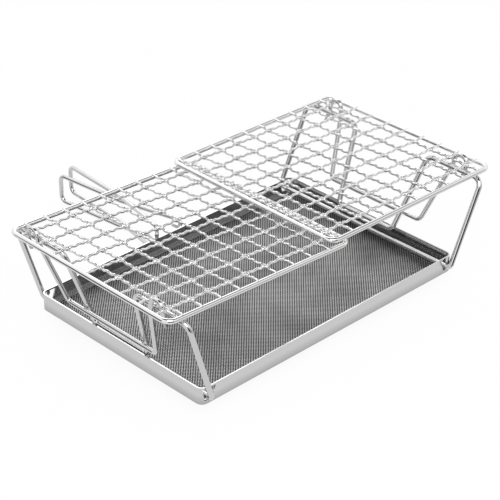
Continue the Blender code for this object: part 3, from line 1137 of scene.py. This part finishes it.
class GRILL_OT_net_columns(bpy.types.Operator):
    """Crimps the cross wires of both nets"""

    bl_idname = "grill.net_columns"
    bl_label = "Cross net wires"

    def execute(self, context):
        nets = context.scene.grill_nets
        for side, word in SIDE_NAMES.items():
            outer, inner, front, rear = net_bounds(side)
            for column in range(nets.columns):
                x = outer - side * (nets.outer_margin + column * nets.column_pitch)
                end = nets.end_stop + corner_inset(abs(x - inner))
                waves = crimped_path(
                    end,
                    rear - front - end,
                    nets.side_margin,
                    nets.row_pitch,
                    column % 2 == 0,
                )
                path = [Vector((x, rear - y, nets.mesh_rise + z)) for y, z in waves]
                add_wire(
                    f"{word}_cross_wire_{column + 1}",
                    path,
                    nets.wire,
                    net_place(side),
                    word + "_net",
                    NET_WIRE,
                    f"{word}_net_column_{column + 1}",
                )
        return {"FINISHED"}


class GRILL_OT_handle(bpy.types.Operator):
    """Bends the handle's two crossing hairpins"""

    bl_idname = "grill.handle"
    bl_label = "Handle"

    def execute(self, context):
        sizes = context.scene.grill_handle
        for side, word in SIDE_NAMES.items():
            middle = sizes.middle_height + (sizes.step if side == LEFT else -sizes.step)
            top = middle + sizes.loop_height / 2
            bottom = middle - sizes.loop_height / 2
            elbow = -side * sizes.elbow_out
            outline = [
                (0.0, 0.0, sizes.pin_high, 0.0),
                (0.0, 0.0, top, sizes.pin_bend),
                (elbow, sizes.elbow_reach, top, sizes.elbow_bend),
                (0.0, sizes.reach, top, sizes.end_bend),
                (0.0, sizes.reach, bottom, sizes.end_bend),
                (elbow, sizes.elbow_reach, bottom, sizes.elbow_bend),
                (0.0, 0.0, bottom, sizes.pin_bend),
                (0.0, 0.0, sizes.pin_low, 0.0),
            ]
            corners = [(Vector((x, y, z)), bend) for x, y, z, bend in outline]
            swing = sizes.right_swing if side == RIGHT else sizes.left_swing
            pin = Matrix.Translation((side * sizes.pin_half, sizes.pin_y, 0.0))
            add_wire(
                word + "_hairpin",
                bent(corners),
                sizes.wire,
                pin @ Matrix.Rotation(swing, 4, "Z"),
                word + "_handle",
                HANDLE_WIRE,
                word + "_handle",
            )
        return {"FINISHED"}


class GRILL_OT_tray(bpy.types.Operator):
    """Finishes the tray's sheet frame, the handle's eyes and the woven floor"""

    bl_idname = "grill.tray"
    bl_label = "Tray"

    def execute(self, context):
        finishes = {
            "tray_frame": SHEET,
            "left_handle_eye": SHEET,
            "right_handle_eye": SHEET,
            "mesh_floor": CLOTH,
        }
        for node, material in finishes.items():
            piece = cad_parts[node]
            piece.data.materials.clear()
            piece.data.materials.append(finish_material(material))
        return {"FINISHED"}


def lay_floor(stage):
    """Lays a board with matt white paint, which has no gloss and shows only a soft shadow."""
    bpy.ops.mesh.primitive_plane_add(size=6.0, location=(0.0, 0.0, stage.floor_height))
    floor = bpy.context.object
    floor.name = "floor"
    material, tree = new_material("white_floor_board")
    path = add_node(tree, "ShaderNodeLightPath")
    paint = add_node(
        tree,
        "ShaderNodeBsdfPrincipled",
        {"Base Color": linear(stage.floor_colour), "Roughness": 0.9},
    )
    glow = add_node(
        tree, "ShaderNodeEmission", {"Color": WHITE}, {"Strength": (path, "Is Camera Ray")}
    )
    # The glow takes most of the paint's place, which leaves the shadow faint
    glow_share = 0.93
    board = add_node(
        tree,
        "ShaderNodeMixShader",
        {0: glow_share},
        {1: (paint, "BSDF"), 2: (glow, "Emission")},
    )
    # Metal looks through the floor, because the world draws all that it mirrors
    clear = add_node(tree, "ShaderNodeBsdfTransparent")
    surface = add_node(
        tree,
        "ShaderNodeMixShader",
        None,
        {0: (path, "Is Glossy Ray"), 1: (board, "Shader"), 2: (clear, "BSDF")},
    )
    close_material(tree, surface, "Shader")
    floor.data.materials.append(material)


def draw_studio(scene, stage):
    """Makes the world: plain white light, and for metal alone a room for it to mirror. Heights
    in the room go from 0 below to 1 above, and turns from 0 to 1 round it."""
    horizon = 0.5
    ambient = 0.8
    curtain_level = 0.03
    world = bpy.data.worlds.new("white_studio")
    scene.world = world
    world.use_nodes = True
    tree = world.node_tree
    tree.nodes.clear()
    path = add_node(tree, "ShaderNodeLightPath")
    way = add_node(tree, "ShaderNodeTexCoord")
    axes = add_node(tree, "ShaderNodeSeparateXYZ", None, {"Vector": (way, "Generated")})
    turn = add_node(
        tree,
        "ShaderNodeTexGradient",
        None,
        {"Vector": (way, "Generated")},
        gradient_type="RADIAL",
    )
    height = add_node(tree, "ShaderNodeMapRange", {"From Min": -1.0}, {"Value": (axes, "Z")})
    # Levels of the pale floor and the white walls, then pairs of bands of heights and turns:
    # a black curtain hangs where both bands of a pair are white, the last one all round
    front = ((0.1, 0.0), (0.12, 1.0), (0.235, 1.0), (0.26, 0.45), (0.39, 0.45), (0.41, 0.0))
    back_left = ((0.85, 0.0), (0.87, 0.9), (0.96, 0.9), (0.97, 0.0))
    stops = (
        (height, "Result", ((horizon, stage.mirrored_level), (0.54, 1.0))),
        (height, "Result", ((0.27, 0.0), (0.33, 1.0), (0.65, 1.0), (0.7, 0.0))),
        (turn, "Fac", front + back_left),
        (height, "Result", ((0.82, 0.0), (0.85, 0.7), (0.93, 0.7), (0.94, 0.0))),
        (turn, "Fac", ((0.33, 0.0), (0.39, 1.0), (0.58, 1.0), (0.62, 0.0))),
        (height, "Result", ((0.93, 0.0), (0.945, 1.0))),
        (turn, "Fac", ((0.0, 1.0),)),
    )
    bands = []
    for source, output, shades in stops:
        band = add_node(tree, "ShaderNodeValToRGB", None, {"Fac": (source, output)})
        ramp = band.color_ramp
        ramp.elements.remove(ramp.elements[1])
        ramp.elements[0].position = shades[0][0]
        ramp.elements[0].color = (shades[0][1],) * 3 + (1.0,)
        for position, shade in shades[1:]:
            ramp.elements.new(position).color = (shade,) * 3 + (1.0,)
        bands.append(band)
    walls, *curtains = bands
    mirrored = (walls, "Color")
    for high, wide in zip(curtains[::2], curtains[1::2]):
        curtain = add_node(
            tree,
            "ShaderNodeMath",
            None,
            {0: (high, "Color"), 1: (wide, "Color")},
            operation="MULTIPLY",
        )
        hung = add_node(
            tree,
            "ShaderNodeMix",
            {MIX_B: curtain_level},
            {MIX_FACTOR: (curtain, "Value"), MIX_A: mirrored},
        )
        mirrored = (hung, MIX_RESULT)
    plain = add_node(
        tree,
        "ShaderNodeMapRange",
        {"To Min": ambient, "To Max": 1.0},
        {"Value": (path, "Is Camera Ray")},
    )
    level = add_node(
        tree,
        "ShaderNodeMix",
        None,
        {MIX_FACTOR: (path, "Is Glossy Ray"), MIX_A: (plain, "Result"), MIX_B: mirrored},
    )
    light = add_node(
        tree, "ShaderNodeBackground", {"Color": WHITE}, {"Strength": (level, MIX_RESULT)}
    )
    add_node(tree, "ShaderNodeOutputWorld", None, {"Surface": (light, "Background")})


def hang_softboxes(scene, middle):
    """Hangs the square lamps, turned to the middle of the picture."""
    for name, place, size, watts in SOFTBOXES:
        lamp = bpy.data.lights.new(name, "AREA")
        lamp.size = size
        lamp.energy = watts
        softbox = bpy.data.objects.new(name, lamp)
        softbox.location = place
        aim = middle - Vector(place)
        softbox.rotation_euler = aim.to_track_quat("-Z", "Y").to_euler()
        scene.collection.objects.link(softbox)


def set_camera(scene, stage, middle):
    """Sets the camera at the photograph's angle."""
    camera = bpy.data.objects.new("camera", bpy.data.cameras.new("camera"))
    scene.collection.objects.link(camera)
    camera.data.sensor_width = 36.0
    camera.data.lens = stage.focal
    flat = math.cos(stage.elevation)
    back = Vector(
        (
            math.sin(stage.azimuth) * flat,
            -math.cos(stage.azimuth) * flat,
            math.sin(stage.elevation),
        )
    )
    camera.location = middle + back * stage.distance
    aim = (-back).to_track_quat("-Z", "Y").to_matrix()
    camera.rotation_euler = (aim @ Matrix.Rotation(stage.roll, 3, "Z")).to_euler()
    scene.camera = camera


class GRILL_OT_stage(bpy.types.Operator):
    """Sets the floor, the studio's light and the camera"""

    bl_idname = "grill.stage"
    bl_label = "Stage"

    def execute(self, context):
        scene = context.scene
        stage = scene.grill_stage
        middle = Vector(stage.target)
        lay_floor(stage)
        draw_studio(scene, stage)
        hang_softboxes(scene, middle)
        set_camera(scene, stage, middle)
        scene.view_settings.view_transform = "Standard"
        return {"FINISHED"}


class GRILL_PT_panel(bpy.types.Panel):
    """Lists the grill's sizes and colours, and the steps that build it"""

    bl_idname = "GRILL_PT_panel"
    bl_label = "Folding grill"
    bl_space_type = "VIEW_3D"
    bl_region_type = "UI"
    bl_category = "Grill"

    def draw(self, context):
        for name, group in GROUPS.items():
            box = self.layout.box()
            box.label(text=group.__doc__)
            for key in group.__annotations__:
                box.prop(getattr(context.scene, name), key)
        for operator in OPERATORS:
            self.layout.operator(operator.bl_idname)


GROUPS = {
    "grill_legs": GrillLegSizes,
    "grill_nets": GrillNetSizes,
    "grill_handle": GrillHandleSizes,
    "grill_finish": GrillFinish,
    "grill_stage": GrillStage,
}
OPERATORS = (
    GRILL_OT_leg_frames,
    GRILL_OT_hook_wires,
    GRILL_OT_net_frames,
    GRILL_OT_net_rows,
    GRILL_OT_net_columns,
    GRILL_OT_handle,
    GRILL_OT_tray,
    GRILL_OT_stage,
)


def register():
    for name, group in GROUPS.items():
        bpy.utils.register_class(group)
        setattr(bpy.types.Scene, name, bpy.props.PointerProperty(type=group))
    for item in (*OPERATORS, GRILL_PT_panel):
        bpy.utils.register_class(item)


def unregister():
    for item in (GRILL_PT_panel, *reversed(OPERATORS)):
        bpy.utils.unregister_class(item)
    for name, group in reversed(GROUPS.items()):
        delattr(bpy.types.Scene, name)
        bpy.utils.unregister_class(group)


def main():
    register()
    bpy.ops.grill.leg_frames()
    bpy.ops.grill.hook_wires()
    bpy.ops.grill.net_frames()
    bpy.ops.grill.net_rows()
    bpy.ops.grill.net_columns()
    bpy.ops.grill.handle()
    bpy.ops.grill.tray()
    bpy.ops.grill.stage()


if __name__ == "__main__":
    main()
